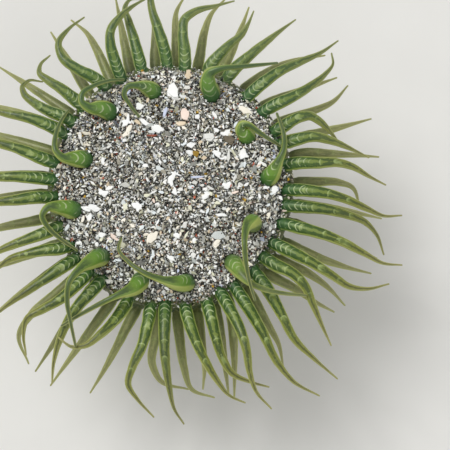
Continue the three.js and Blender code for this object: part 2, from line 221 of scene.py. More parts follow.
# How light a grain is, by its tone, and its hue, by its tint
SAND_GREYS = {
    0.0: (16, 16, 16),
    0.1: (38, 38, 37),
    0.26: (103, 103, 99),
    0.5: (172, 171, 163),
    0.7: (226, 225, 219),
    0.84: (246, 245, 241),
    1: (255, 255, 254),
}
SAND_HUES = {
    0.0: (250, 251, 250),
    0.3: (250, 244, 230),
    0.43: (234, 241, 244),
    0.57: (236, 236, 212),
    0.7: (250, 250, 248),
    0.86: (228, 210, 182),
    0.92: (250, 230, 218),
    0.95: (212, 220, 246),
    0.967: (210, 112, 84),
    0.983: (200, 160, 50),
}

RNG = np.random.default_rng(7)


# ---- Meshes ----
def new_object(name, points, faces, smooth=True):
    mesh = bpy.data.meshes.new(name)
    mesh.from_pydata(points, [], faces)
    mesh.update()
    if smooth:
        mesh.shade_smooth()
    else:
        mesh.shade_flat()
    made = bpy.data.objects.new(name, mesh)
    bpy.context.scene.collection.objects.link(made)
    return made


def ring_faces(rings, sides, first, last):
    """The faces between rings of points, and from the first and the last ring to a point each."""
    faces = []
    for r in range(rings - 1):
        for k in range(sides):
            a, b = r * sides + k, r * sides + (k + 1) % sides
            faces.append((a, b, b + sides, a + sides))
    top = (rings - 1) * sides
    for k in range(sides):
        after = (k + 1) % sides
        faces += [(after, k, first), (top + k, top + after, last)]
    return faces


def read(items, name, width, kind=float):
    """One property of every vertex or edge of a mesh, as rows of numbers."""
    found = np.empty(len(items) * width, kind)
    items.foreach_get(name, found)
    return found.reshape(-1, width)


def set_values(mesh, **values):
    """Gives every vertex one number for each name."""
    for name, numbers in values.items():
        layer = mesh.attributes.get(name) or mesh.attributes.new(name, "FLOAT", "POINT")
        layer.data.foreach_set("value", np.asarray(numbers, np.float32))


def get_values(mesh, name):
    return read(mesh.attributes[name].data, "value", 1, np.float32)[:, 0]


def smoothstep(x, low, high):
    t = np.clip((np.asarray(x, float) - low) / (high - low), 0, 1)
    return t * t * (3 - 2 * t)


def unit(vectors):
    return vectors / np.linalg.norm(vectors, axis=-1, keepdims=True)


def circle(count):
    """Evenly spaced bearings, and the [x, y] of each at a radius of 1."""
    bearing = np.arange(count) / count * 2 * math.pi
    return bearing, np.column_stack([np.cos(bearing), np.sin(bearing)])


def length_along(places):
    """How far each of some places is from the first one, by way of those between."""
    return np.concatenate([[0], np.cumsum(np.linalg.norm(np.diff(places, axis=0), axis=1))])


def curve_through(points, at):
    """A smooth curve through [x, y, z, ...] rows, read at shares of its length."""
    points = np.asarray(points, float)
    length = length_along(points[:, :3])
    slopes = np.gradient(points, length, axis=0)
    wanted = np.asarray(at) * length[-1]
    k = np.clip(np.searchsorted(length, wanted, side="right") - 1, 0, len(points) - 2)
    span = (length[k + 1] - length[k])[:, None]
    t = (wanted[:, None] - length[k][:, None]) / span
    start, end = points[k], points[k + 1]
    return (
        start * (2 * t**3 - 3 * t**2 + 1)
        + end * (3 * t**2 - 2 * t**3)
        + slopes[k] * span * (t**3 - 2 * t**2 + t)
        + slopes[k + 1] * span * (t**3 - t**2)
    )


# ---- The CAD tentacles' lines ----
def welded(node):
    """A CAD node's corners, each listed once, and for each the corners that an edge joins it to."""
    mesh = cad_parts[node].data
    places = np.round(read(mesh.vertices, "co", 3), 6)
    corners, index = np.unique(places, axis=0, return_inverse=True)
    near = [set() for _ in corners]
    for a, b in index.reshape(-1)[read(mesh.edges, "vertices", 2, np.int32)]:
        if a != b:
            near[a].add(int(b))
            near[b].add(int(a))
    return corners, near


def ring_at(corners):
    """A ring of corners as its [x, y, z, radius]."""
    centre = corners.mean(axis=0)
    return [*centre, np.linalg.norm(corners - centre, axis=1).mean()]


def rings_from(corners, near, start, sides):
    """Rings of corners met one after another on the way from a start: [x, y, z, radius] for each.
    The last one is where the tube meets something else, if it does."""
    seen = set(start)
    layer = set(start)
    rings = []
    while True:
        layer = set().union(*(near[i] for i in layer)) - seen
        if not layer:
            return rings
        seen |= layer
        rings.append(ring_at(corners[sorted(layer)]))
        if len(layer) != sides:
            return rings


def tips_of(corners, near, sides):
    """The corners at the tips of a node's tentacles, where short edges meet."""
    found = []
    for i, others in enumerate(near):
        short = np.linalg.norm(corners[list(others)] - corners[i], axis=1) < TIP_EDGE
        if len(others) == sides and short.all():
            found.append(i)
    return found


def sector_lines(node, tier):
    """A sector's tentacles as (tier, line), from the root inside the rim or the collar to the tip."""
    sides = CAD_SIDES[tier]
    corners, near = welded(node)
    lines = []
    for tip in tips_of(corners, near, sides):
        *rings, foot = rings_from(corners, near, {tip}, sides)
        line = np.array(rings[::-1])
        surface = np.array(foot[:3])
        inward = unit(surface - line[0, :3])
        radius = line[0, 3] + ROOT_TAPER * max(line[0, 3] - line[1, 3], 0)
        root = [*(surface + inward * ROOT_DEPTH), radius]
        lines.append((tier, np.vstack([root, line, [*corners[tip], 0]])))
    return lines


def inner_line(base, tip):
    """The line of an inner tentacle, through its base node and its tip node."""
    sides = CAD_SIDES["inner"]
    tip_corners, tip_near = welded(tip)
    (apex,) = tips_of(tip_corners, tip_near, sides)
    outer = np.array(rings_from(tip_corners, tip_near, {apex}, sides)[::-1])
    corners, near = welded(base)
    cut = np.argsort(np.linalg.norm(corners - outer[0, :3], axis=1))[:sides]
    inner = np.array(rings_from(corners, near, {int(i) for i in cut}, sides)[::-1])
    return np.vstack([inner, [ring_at(corners[cut])], outer[1:], [*tip_corners[apex], 0]])


def all_lines():
    """Every tentacle as its tier and its line."""
    found = []
    for name in sorted(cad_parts):
        if name.startswith("rim_sector"):
            found += sector_lines(name, "upper")
        elif name.startswith("collar_sector"):
            found += sector_lines(name, "lower")
        elif name.endswith("_base"):
            found.append(("inner", inner_line(name, name.replace("_base", "_tip"))))
    return found


# ---- Skin ----
def tube_rings(tier, line):
    """A tentacle's tube as its rings' centres, radii and directions, up to its rounded tip."""
    share = np.linspace(0, 1, TUBE_ROWS[tier])
    path = curve_through(line[:-1], share)
    centres = path[:, :3]
    radii = path[:, 3] * (1 - TIP_THINNING[tier] * smoothstep(share, THINNING_FROM, 1))
    directions = unit(np.gradient(centres, axis=0))
    top, radius, end = centres[-1], radii[-1], directions[-1]
    for k in range(1, TIP_ROWS + 1):
        angle = k / (TIP_ROWS + 1) * math.pi / 2
        centres = np.vstack([centres, top + end * radius * math.sin(angle)])
        radii = np.append(radii, radius * math.cos(angle))
        directions = np.vstack([directions, end])
    return centres, radii, directions


def tube(tier, line, seed):
    """A tentacle's tube, with the place along and round it kept for its markings."""
    centres, radii, directions = tube_rings(tier, line)
    reach = length_along(centres)
    sides, count = TUBE_SIDES[tier], len(centres)

    # The oral side faces up, and at an upright root it faces away from where the tentacle leads.
    up = np.array([0.0, 0.0, 1.0])
    leads = unit((centres[TUBE_ROWS[tier] // 4] - centres[0]) * [1, 1, 0])
    oral = -leads if tier == "inner" else up
    around, _ = circle(sides)
    points, facing, flank = [], [], []
    for k, (centre, radius, direction) in enumerate(zip(centres, radii, directions)):
        oral = oral + up * UPWARD_PULL
        oral = unit(oral - direction * np.dot(oral, direction))
        side = np.cross(direction, oral)
        swell = 1 + SWELL * noise.noise(Vector((reach[k] * 260, seed * 50, 0)))
        for angle in around:
            height, width = math.cos(angle), math.sin(angle)
            lumps = 1 + LUMPS * noise.noise(Vector((reach[k] * 620, angle * 1.2, seed * 90)))
            offset = oral * height * FLATNESS[tier] + side * width
            points.append(centre + offset * radius * swell * lumps)
            facing.append(height)
            flank.append(width)
    points.append(centres[-1] + directions[-1] * radii[-TIP_ROWS - 1] * TIP_POINT)
    points.append(centres[0])
    made = new_object("tube", points, ring_faces(count, sides, count * sides + 1, count * sides))
    length = reach[-1]
    set_values(
        made.data,
        along=[*np.repeat(reach / length, sides), 1.0, 0.0],
        reach=[*np.repeat(reach / MM, sides), length / MM, 0],
        facing=[*facing, 1, 1],
        flank=[*flank, 0, 0],
        seed=np.full(len(points), seed),
        tier=np.full(len(points), TIER[tier]),
        arm=np.ones(len(points)),
    )
    return made


def joined(objects):
    """Several objects as one."""
    with bpy.context.temp_override(
        active_object=objects[0], selected_editable_objects=objects, selected_objects=objects
    ):
        bpy.ops.object.join()
    return objects[0]


def outline_of(node):
    """[radius, height] of each level of a turned CAD node, from the bottom up."""
    corners, _ = welded(node)
    radius = np.hypot(corners[:, 0], corners[:, 1])
    levels = []
    for height in np.unique(np.round(corners[:, 2], 5)):
        here = radius[np.abs(corners[:, 2] - height) < 1e-5]
        levels.append([here[here > 0.6 * here.max()].mean(), height])  # without a middle point
    return levels


def body_outline():
    """[radius, height] of each ring, from the middle of the underside to the middle of the disc, and
    where the rings of the side start and end."""
    foot, low, high = outline_of("pedal_disc"), outline_of("column_lower"), outline_of("column_upper")
    margin = high[-1] + np.array(MARGIN) * MM
    side = [[radius, 0, height] for radius, height in (*foot[:-1], *low[:-1], *high[:-1], *margin)]
    path = curve_through(side, np.linspace(0, 1, int(length_along(side)[-1] / ROW_STEP)))
    outline = np.stack([path[:, 0], np.maximum(path[:, 2], 0)], axis=1)
    outline[0, 1] = 0
    underside = [[outline[0, 0] * share, 0] for share in (0.25, 0.5, 0.75, 0.93)]
    inward = np.array([0.97, 0.85, 0.7, 0.55, 0.4, 0.28, 0.18, 0.13, 0.09, 0.05])
    disc = np.column_stack([DISC_RADIUS * inward, DISC_TOP - DISC_DIP * (1 - inward)])
    return np.vstack([underside, outline, disc]), len(underside), len(underside) + len(outline)


def warts(bearing, length, radius, strength):
    """How far the sticky bumps stand out of the column."""
    row = np.round(bearing / (2 * math.pi) * WART_ROWS)
    across = (bearing - row * 2 * math.pi / WART_ROWS) * radius
    shifted = length + WART_STEP / 2 * (row % 2)
    up = shifted - np.round(shifted / WART_STEP) * WART_STEP
    return WART_HEIGHT * strength * np.exp(-(across**2 + up**2) / WART_WIDTH**2 * 1.6)


def folds(bearing, height, collar):
    """How far ribs and wrinkles, and scallops at the foot, stand out of the side at a height."""
    places = [(math.cos(b) * 2.2, math.sin(b) * 2.2, height * 520) for b in bearing]
    wrinkles = [noise.noise(Vector(place)) for place in places]
    ribs = np.cos(bearing * WART_ROWS) * smoothstep(height, 1.5 * MM, 6 * MM)
    quiet = 1 - smoothstep(height, collar - 4 * MM, collar)
    depth = (np.array(wrinkles) * 0.28 - 0.1 * ribs) * MM * quiet * smoothstep(height, 0, 2 * MM)
    scallops = np.cos(bearing * FOOT_SCALLOPS) * smoothstep(height, 0, 1.0 * MM)
    return depth + scallops * (1 - smoothstep(height, 1.5 * MM, 3.5 * MM)) * 0.16 * MM


def body():
    """The column, the margin and the disc, turned round one axis."""
    outline, side_from, side_to = body_outline()
    length = length_along(outline)
    slope = unit(np.gradient(outline, axis=0))
    normal = np.stack([slope[:, 1], -slope[:, 0]], axis=1)
    bearing, around = circle(BODY_COLUMNS)
    waist, collar = outline_of("column_lower")[-1][1], outline_of("column_upper")[-1][1]
    points, bump = [], []
    for k, (radius, height) in enumerate(outline):
        on_side = side_from <= k < side_to
        on_column = on_side and height < collar + 0.5 * MM
        strength = smoothstep(height, waist * 0.35, collar) if on_column else 0
        wart = warts(bearing, length[k], radius, strength)
        out = wart + (folds(bearing, height, collar) if on_side else 0)
        ring = around * (radius + out * normal[k, 0])[:, None]
        points.append(np.column_stack([ring, height + out * normal[k, 1]]))
        bump.append(wart / WART_HEIGHT)
    points = np.vstack([*points, [0, 0, 0], [0, 0, outline[-1, 1]]])
    points[:, 2] = np.maximum(points[:, 2], 0)
    faces = ring_faces(len(outline), BODY_COLUMNS, len(points) - 2, len(points) - 1)
    made = new_object("anemone_skin", points, faces)
    zeros = np.zeros(len(points))
    set_values(made.data, along=zeros, reach=zeros, flank=zeros, seed=zeros, arm=zeros)
    set_values(made.data, facing=zeros + 1, tier=zeros, wart=[*np.concatenate(bump), 0, 0])
    return made


def unite(base, other):
    """Adds other's solid to base, and takes other away."""
    joiner = base.modifiers.new("join", "BOOLEAN")
    joiner.operation = "UNION"
    joiner.solver = "MANIFOLD"
    joiner.object = other
    evaluated = base.evaluated_get(bpy.context.evaluated_depsgraph_get())
    mesh = bpy.data.meshes.new_from_object(evaluated)
    base.modifiers.clear()
    base.data = mesh
    bpy.data.objects.remove(other)


def soften_seams(mesh):
    """Rounds the creases where tentacles meet the body, and blends the two looks there."""
    places = read(mesh.vertices, "co", 3)
    first, second = read(mesh.edges, "vertices", 2, np.int32).T
    arm = get_values(mesh, "arm")
    seam = np.unique(np.concatenate([first, second])[np.tile(arm[first] != arm[second], 2)])
    tree = KDTree(len(seam))
    for i in seam:
        tree.insert(places[i], i)
    tree.balance()
    distance = np.array([tree.find(place)[2] for place in places])
    weight = (1 - smoothstep(distance, 0.2 * SEAM_REACH, SEAM_REACH))[:, None]
    arm = arm[:, None]
    count = np.bincount(first, minlength=len(places)) + np.bincount(second, minlength=len(places))

    def mean_of_neighbours(values):
        total = np.zeros_like(values)
        np.add.at(total, first, values[second])
        np.add.at(total, second, values[first])
        return total / np.maximum(count, 1)[:, None]

    for _ in range(SEAM_ROUNDS):
        places += 0.6 * weight * (mean_of_neighbours(places) - places)
        arm += 0.8 * weight * (mean_of_neighbours(arm) - arm)
    mesh.vertices.foreach_set("co", places.ravel())
    set_values(mesh, arm=arm[:, 0])


def make_skin(lines, material):
    """The body and all tentacles as one skin."""
    skin = body()
    skin.data.materials.append(material)
    groups = {}
    for i, (tier, line) in enumerate(lines):
        made = tube(tier, line, float(RNG.random()))
        # The tubes of a group must not meet, and upper ones can touch their neighbours at the root.
        groups.setdefault((tier, i % 2 if tier == "upper" else 0), []).append(made)
    for tubes in groups.values():
        whole = joined(tubes)
        whole.data.materials.append(material)
        set_values(whole.data, wart=np.zeros(len(whole.data.vertices)))
        unite(skin, whole)
    worker = bmesh.new()
    worker.from_mesh(skin.data)
    bmesh.ops.remove_doubles(worker, verts=worker.verts, dist=WELD)
    worker.to_mesh(skin.data)
    worker.free()
    soften_seams(skin.data)
    skin.data.shade_smooth()
    return skin


# ---- Shell sand ----
def hull_shape(corners):
    """The convex hull of some points, as its own points and triangles."""
    worker = bmesh.new()
    for corner in corners:
        worker.verts.new(corner)
    inside = bmesh.ops.convex_hull(worker, input=worker.verts)["geom_interior"]
    bmesh.ops.delete(worker, geom=[item for item in inside if isinstance(item, bmesh.types.BMVert)])
    bmesh.ops.triangulate(worker, faces=worker.faces)
    worker.verts.index_update()
    points = np.array([vert.co for vert in worker.verts])
    triangles = np.array([[vert.index for vert in face.verts] for face in worker.faces])
    worker.free()
    return points, triangles


def grain_shapes():
    """Angular grains about 1 across."""
    made = []
    for _ in range(SHAPES):
        corners = unit(RNG.normal(size=(GRAIN_CORNERS, 3))) * RNG.uniform(0.36, 0.62, (GRAIN_CORNERS, 1))
        made.append(hull_shape(corners))
    return made


def flake_shapes():
    """Broken plates of shell, about 1 long, 1 wide and 1 thick before they are scaled."""
    made = []
    for _ in range(SHAPES):
        count = int(RNG.integers(6, 10))
        turn = (RNG.uniform(0, 0.7, count) + np.arange(count)) / count * 2 * math.pi
        radius = RNG.uniform(0.28, 0.6, count)
        edge = np.column_stack([np.cos(turn) * radius, np.sin(turn) * radius])
        top = np.column_stack([edge * RNG.uniform(0.8, 0.97, (count, 1)), RNG.uniform(0.3, 0.5, count)])
        bottom = np.column_stack([edge, RNG.uniform(-0.5, -0.3, count)])
        points = np.vstack([bottom, top, [[0, 0, -0.45], [0, 0, 0.5]]])
        faces = []
        for k in range(count):
            after = (k + 1) % count
            faces += [(after, k, 2 * count), (count + k, count + after, 2 * count + 1)]
            faces += [(k, after, count + after), (k, count + after, count + k)]
        made.append((points, np.array(faces)))
    return made


def turns(count, tilt):
    """Turning matrices: any way round the vertical, then tipped by about so much, in radians."""
    made = []
    for _ in range(count):
        spin = Matrix.Rotation(RNG.uniform(0, 2 * math.pi), 3, "Z")
        axis = Vector((*RNG.normal(size=2), 0)).normalized()
        made.append(Matrix.Rotation(RNG.normal() * tilt, 3, axis) @ spin)
    return np.array(made)


def scatter(name, shapes, places, spins, sizes, tones, tints, roots=None):
    """One mesh of many grains. roots gives each grain's place on the bake map, if not the disc's."""
    roots = disc_map(places) if roots is None else roots
    kinds = RNG.integers(0, len(shapes), len(places))
    points, triangles, patches, owners = [], [], [], []
    start = 0
    for kind, (corners, faces) in enumerate(shapes):
        grains = np.nonzero(kinds == kind)[0]
        if not len(grains):
            continue
        scaled = corners[None] * sizes[grains][:, None]
        placed = np.einsum("nij,nkj->nki", spins[grains], scaled) + places[grains][:, None]
        offsets = start + np.arange(len(grains)) * len(corners)
        points.append(placed.reshape(-1, 3))
        triangles.append((faces[None] + offsets[:, None, None]).reshape(-1, 3))
        flat = corners[:, :2] + corners[:, 2:] * PATCH_LEAN
        patches.append((roots[grains][:, None] + flat[None] * PATCH_SIZE).reshape(-1, 2))
        owners.append(np.repeat(grains, len(corners)))
        start += len(grains) * len(corners)
    points, triangles, patches = map(np.vstack, (points, triangles, patches))
    owners = np.concatenate(owners)
    made = new_object(name, points, triangles.tolist(), smooth=False)
    set_values(made.data, tone=tones[owners], tint=tints[owners])
    layer = made.data.uv_layers.new(name="OFBake")
    layer.data.foreach_set("uv", np.clip(patches[triangles.ravel()], 0, 1).ravel())
    return made


def sand_profile():
    """The height of the CAD cover's top at even steps of radius, as [radii, heights]."""
    tree = BVHTree.FromObject(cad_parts["sand_cover"], bpy.context.evaluated_depsgraph_get())
    radii = np.linspace(0, SAND_RADIUS - 0.8 * MM, 30)  # short of the cover's steep edge
    _, around = circle(48)
    heights = []
    for radius in radii:
        hits = [tree.ray_cast(Vector((x, y, SAND_HIGH.z + MM)), DOWN)[0] for x, y in around * radius]
        heights.append(np.median([hit.z for hit in hits if hit]))
    return radii, np.array(heights)


def sand_top(places, profile):
    """The height of the loose grains' top at each [x, y] place."""
    radius = np.hypot(places[:, 0], places[:, 1])
    ripple = [
        noise.noise(Vector((x, y, 0)) * 160) + 0.5 * noise.noise(Vector((x, y, 0.01)) * 420)
        for x, y in places
    ]
    return np.interp(radius, *profile) + np.array(ripple) * SAND_RIPPLE


def ragged_edge(places):
    """The sand's radius at the bearing of each place."""
    bearing = np.arctan2(places[:, 1], places[:, 0])
    wander = [noise.noise(Vector((math.cos(b), math.sin(b), 0)) * 6) for b in bearing]
    return SAND_EDGE - SAND_OVAL * np.cos(2 * bearing) + np.array(wander) * 0.8 * MM


def make_bed(profile):
    """The packed sand under the loose grains, closed below."""
    columns, rows = 144, 34
    _, around = circle(columns)
    points = []
    for share in np.linspace(1, 0, rows, endpoint=False):
        ring = around * (ragged_edge(around) - 0.4 * MM)[:, None] * share
        top = sand_top(ring, profile) - BED_DEPTH
        rough = [noise.noise(Vector((x, y, 0)) * 1400) * 0.18 * MM for x, y in ring]
        points.append(np.column_stack([ring, top + rough]))
    skirt = points[0].copy()
    skirt[:, :2] *= 0.97
    skirt[:, 2] = floor = SAND_LOW.z + 0.3 * MM
    points = np.vstack([skirt, *points, [[0, 0, floor], [0, 0, points[-1][:, 2].mean()]]])
    faces = ring_faces(rows + 1, columns, len(points) - 2, len(points) - 1)
    return new_object("shell_sand_bed", points, faces)


def clear_of(tree, places, margin):
    """Which places are outside a closed mesh, by at least a margin."""
    free = []
    for place in places:
        hit, normal, _, distance = tree.find_nearest(Vector(place))
        free.append(distance > margin and (Vector(place) - hit).dot(normal) > 0)
    return np.array(free)


def grid(spacing, past=0.0):
    """Places on a jittered grid over the sand, and so far past its edge, as [x, y]."""
    steps = np.arange(-SAND_EDGE - MAP_MARGIN, SAND_EDGE + MAP_MARGIN, spacing)
    x, y = np.meshgrid(steps, steps)
    places = np.column_stack([x.ravel(), y.ravel()])
    places = places + RNG.uniform(-0.5, 0.5, places.shape) * spacing
    return places[np.hypot(*places.T) < ragged_edge(places) + past]


def disc_map(places):
    """A place on the sand's round top as a place on its bake map."""
    return 0.5 + places[:, :2] / (2 * (SAND_EDGE + MAP_MARGIN))


def notable_plates():
    """The plates of the largest bits: some that overlap in a broad one, and one in a sliver."""
    plates = []
    for right, up, length, width, turn, kind in NOTABLE:
        if width < SLIVER * length:
            plates.append((right, up, length * 1.1, width * 1.15, turn, kind))
            continue
        cos, sin = math.cos(math.radians(turn)), math.sin(math.radians(turn))
        for _ in range(PLATES):
            ahead = RNG.uniform(-0.2, 0.2) * length
            aside = RNG.uniform(-0.16, 0.16) * width
            place = (right + ahead * cos - aside * sin, up + ahead * sin + aside * cos)
            size = (length * RNG.uniform(0.7, 0.95), width * RNG.uniform(0.7, 0.95))
            plates.append((*place, *size, turn + RNG.normal() * 18, kind))
    return plates


def random_sizes(middle, spread, count, low, high):
    """Lognormal sizes, kept between low and high millimetres."""
    return np.clip(RNG.lognormal(math.log(middle), spread, count), low * MM, high * MM)


def grain_layer(number, depth, painted_shade, profile, skin_tree, shapes):
    """One layer of angular grains, from the lowest, number 1, up."""
    plan = grid(GRAIN_SPACING)
    height = sand_top(plan, profile) - depth + RNG.normal(size=len(plan)) * 0.12 * MM
    places = np.column_stack([plan, height])
    places = places[clear_of(skin_tree, places, 0.15 * MM)]
    count = len(places)
    across = random_sizes(GRAIN_SIZE, SIZE_SPREAD, count, 0.3, 1.4)
    sizes = across[:, None] * RNG.uniform([0.85, 0.6, 0.45], [1.45, 1.1, 0.9], (count, 3))
    # Painted shade: the grains of each deeper layer are darkened, as they lie in shade under the top
    # ones.
    tones = RNG.random(count) * painted_shade
    name = f"shell_sand_grains_{number}"
    return scatter(name, shapes, places, turns(count, 0.7), sizes, tones, RNG.random(count))


def strewn_flakes(profile, skin_tree, shapes):
    """Small broken plates that lie on the grains."""
    plan = grid(FLAKE_SPACING)
    places = np.column_stack([plan, sand_top(plan, profile) + 0.05 * MM])
    places = places[clear_of(skin_tree, places, 0.5 * MM)]
    count = len(places)
    long = random_sizes(FLAKE_SIZE, 0.4, count, 0.7, 3.6)
    shape = [np.ones(count), RNG.uniform(0.22, 0.7, count), RNG.uniform(0.12, 0.22, count)]
    sizes = long[:, None] * np.column_stack(shape)
    tones = 1 - RNG.random(count) ** 1.8 * 0.7
    spins = turns(count, 0.32)
    tints = RNG.random(count) ** 1.6 * 0.97
    return scatter("shell_sand_flakes", shapes, places, spins, sizes, tones, tints)


def large_pieces(profile, shapes):
    """The largest bits of shell, at their own places."""
    right, up, length, width, turned, kinds = zip(*notable_plates())
    plan = np.column_stack([right, up]) * MM
    length, width = np.array([length, width]) * MM
    places = np.column_stack([plan, sand_top(plan, profile) + 0.25 * MM])
    spins = []
    for turn in turned:
        lean = Matrix.Rotation(RNG.normal() * 0.12, 3, "X")
        spins.append(lean @ Matrix.Rotation(math.radians(turn), 3, "Z"))
    sizes = np.column_stack([length, width, 0.16 * width + 0.25 * MM])
    tones, tints = np.array([FLAKE_LOOKS[kind] for kind in kinds]).T
    return scatter("shell_sand_pieces", shapes, places, np.array(spins), sizes, tones, tints)


def make_grains(profile, skin_tree):
    """All that lies loose on the disc."""
    grains = grain_shapes()
    pieces = []
    for number, (depth, painted_shade) in enumerate(GRAIN_LAYERS, 1):
        pieces.append(grain_layer(number, depth, painted_shade, profile, skin_tree, grains))
    flakes = flake_shapes()
    return [*pieces, strewn_flakes(profile, skin_tree, flakes), large_pieces(profile, flakes)]


def facing_out(normals):
    """Turning matrices that lay a grain flat on a surface, any way round."""
    made = []
    for normal in normals:
        spin = Matrix.Rotation(RNG.uniform(0, 2 * math.pi), 3, "Z")
        made.append(Vector(normal).to_track_quat("Z", "Y").to_matrix() @ spin)
    return np.array(made)


def stuck_grains(name, places, normals, across, roots):
    """Single grains that cling to the skin."""
    count = len(places)
    sizes = across[:, None] * RNG.uniform([0.9, 0.6, 0.4], [1.5, 1.1, 0.8], (count, 3))
    shapes = grain_shapes()
    places = np.array(places) + np.array(normals) * across[:, None] * 0.2
    spins = facing_out(normals)
    return scatter(name, shapes, places, spins, sizes, RNG.random(count), RNG.random(count), roots)


def make_rim_grains(skin, tree):
    """Loose grains on the rim, between and against the roots of the tentacles."""
    arm = get_values(skin.data, "arm")
    plan = grid(RIM_SPACING, RIM_REACH)
    past = (np.hypot(*plan.T) - ragged_edge(plan)) / RIM_REACH
    plan = plan[(past > -0.5) & (RNG.random(len(plan)) > past**2)]
    places, normals = [], []
    for x, y in plan:
        hit, normal, face, _ = tree.ray_cast(Vector((x, y, SAND_HIGH.z + 5 * MM)), DOWN)
        if not hit or hit.z < DISC_TOP - 1.5 * MM:
            continue
        on_tentacle = arm[list(skin.data.polygons[face].vertices)].mean()
        if RNG.random() > on_tentacle * 1.1:
            places.append(hit)
            normals.append(normal)
    across = random_sizes(RIM_GRAIN_SIZE, SIZE_SPREAD, len(places), 0.3, 1.2)
    return stuck_grains("shell_sand_rim", places, normals, across, disc_map(np.array(places)))


def make_column_grains(skin):
    """Bits of shell stuck on the warts of the column, more of them higher up."""
    places, normals = (read(skin.data.vertices, name, 3) for name in ("co", "normal"))
    (_, low), *_, (_, high) = outline_of("column_upper")
    share = (places[:, 2] - low) / (high - low)
    crests = np.nonzero((get_values(skin.data, "wart") > 0.6) & (share > 0) & (share < 0.98))[0]
    tree = KDTree(len(crests))
    tree.balance()
    chosen = []
    for i in RNG.permutation(crests):
        near = tree.find(places[i])[2]
        if (near is None or near > WART_STEP * 0.6) and RNG.random() < 0.1 + 0.4 * share[i]:
            chosen.append(i)
            tree.insert(places[i], i)
            tree.balance()
    bearing = np.arctan2(places[chosen, 1], places[chosen, 0])
    roots = np.column_stack([0.5 + bearing / (2 * math.pi) * 0.97, 0.02 + 0.95 * share[chosen]])
    across = RNG.uniform(0.6, 1.15, len(chosen)) * MM
    return stuck_grains("shell_grains_column", places[chosen], normals[chosen], across, roots)


# ---- Materials ----
def linear(red, green, blue):
    """A colour given as it looks on a screen, 0 to 255, as the linear colour that nodes take."""
    shares = np.array([red, green, blue]) / 255
    return (*np.where(shares > 0.04045, ((shares + 0.055) / 1.055) ** 2.4, shares / 12.92), 1)


class Value:
    """A number at each point of a surface, as an output in a material's node tree."""

    def __init__(self, nodes, output):
        self.nodes, self.output = nodes, output

    def made(self, operation, *others):
        inputs = dict(enumerate((self, *others)))
        return added(self.nodes, "ShaderNodeMath", inputs, operation=operation)

    def __add__(self, other):
        return self.made("ADD", other)

    def __sub__(self, other):
        return self.made("SUBTRACT", other)

    def __mul__(self, other):
        return self.made("MULTIPLY", other)

    def __rsub__(self, other):
        return self * -1 + other

    __radd__, __rmul__ = __add__, __mul__

    def size(self):
        return self.made("ABSOLUTE")

    def part(self):
        """What is left over the whole number below."""
        return self.made("FRACT")

    def rises(self, low, high):
        """A smooth step from 0 at low to 1 at high, which falls if high is the lower one."""
        inputs = {"Value": self, "From Min": low, "From Max": high}
        return added(self.nodes, "ShaderNodeMapRange", inputs, interpolation_type="SMOOTHSTEP")

    def bump(self, low, rise, fall, high):
        """1 between rise and fall, and 0 outside low to high."""
        return self.rises(low, rise) * self.rises(high, fall)


def plug(socket, value):
    if isinstance(value, Value):
        socket.id_data.links.new(value.output, socket)
    else:
        socket.default_value = value


def added(nodes, kind, inputs, output=0, **settings):
    """The output of a new node with these inputs and settings."""
    node = nodes.new(kind)
    for name, value in settings.items():
        setattr(node, name, value)
    for name, value in inputs.items():
        plug(node.inputs[name], value)
    return Value(nodes, node.outputs[output])


class Look:
    """A material in the making, from values and colours at each point."""

    def __init__(self, name):
        self.material = bpy.data.materials.new(name)
        self.material.use_nodes = True
        self.nodes = self.material.node_tree.nodes
        self.shader = self.nodes["Principled BSDF"]

    def attribute(self, name):
        return added(self.nodes, "ShaderNodeAttribute", {}, "Fac", attribute_name=name)

    def place(self):
        return added(self.nodes, "ShaderNodeTexCoord", {}, "Object")

    def axes(self):
        axis = added(self.nodes, "ShaderNodeSeparateXYZ", {0: self.place()})
        return [Value(self.nodes, output) for output in axis.output.node.outputs]

    def vector(self, x, y, z):
        return added(self.nodes, "ShaderNodeCombineXYZ", {"X": x, "Y": y, "Z": z})

    def noise(self, vector, scale=1, detail=2, roughness=0.5):
        inputs = {"Vector": vector, "Scale": scale, "Detail": detail, "Roughness": roughness}
        return added(self.nodes, "ShaderNodeTexNoise", inputs, "Fac")

    def cells(self, vector, scale):
        """How far each point is from the nearest of many scattered points."""
        return added(self.nodes, "ShaderNodeTexVoronoi", {"Vector": vector, "Scale": scale}, "Distance")

    def ramp(self, value, stops, steps="LINEAR"):
        made = added(self.nodes, "ShaderNodeValToRGB", {0: value}, "Color")
        ramp = made.output.node.color_ramp
        ramp.interpolation = steps
        while len(ramp.elements) < len(stops):
            ramp.elements.new(0.5)
        for element, (place, color) in zip(ramp.elements, sorted(stops.items())):
            element.position = place
            element.color = linear(*color)
        return made

    def mix(self, share, *colors, blend="MIX"):
        first, second = (color if isinstance(color, Value) else linear(*color) for color in colors)
        inputs = {"Factor": share, "A": first, "B": second}
        settings = {"data_type": "RGBA", "blend_type": blend}
        return added(self.nodes, "ShaderNodeMix", inputs, 2, **settings)

    def painted(self, color, layers):
        """A colour with others laid over it one by one, each given with its share."""
        for share, over in layers:
            color = self.mix(share, color, over)
        return color

    def set(self, name, value):
        plug(self.shader.inputs[name], value)

    def set_gloss(self, specular, coat):
        self.set("Specular IOR Level", specular)
        self.set("Coat Weight", coat)
        self.set("Coat Roughness", 0.2)

    def finish(self, color, roughness, height, bump, depth):
        """The material, in which a height of 1 stands out by a depth."""
        self.set("Base Color", color)
        self.set("Roughness", roughness)
        inputs = {"Height": height, "Strength": bump, "Distance": depth}
        self.set("Normal", added(self.nodes, "ShaderNodeBump", inputs))
        return self.material


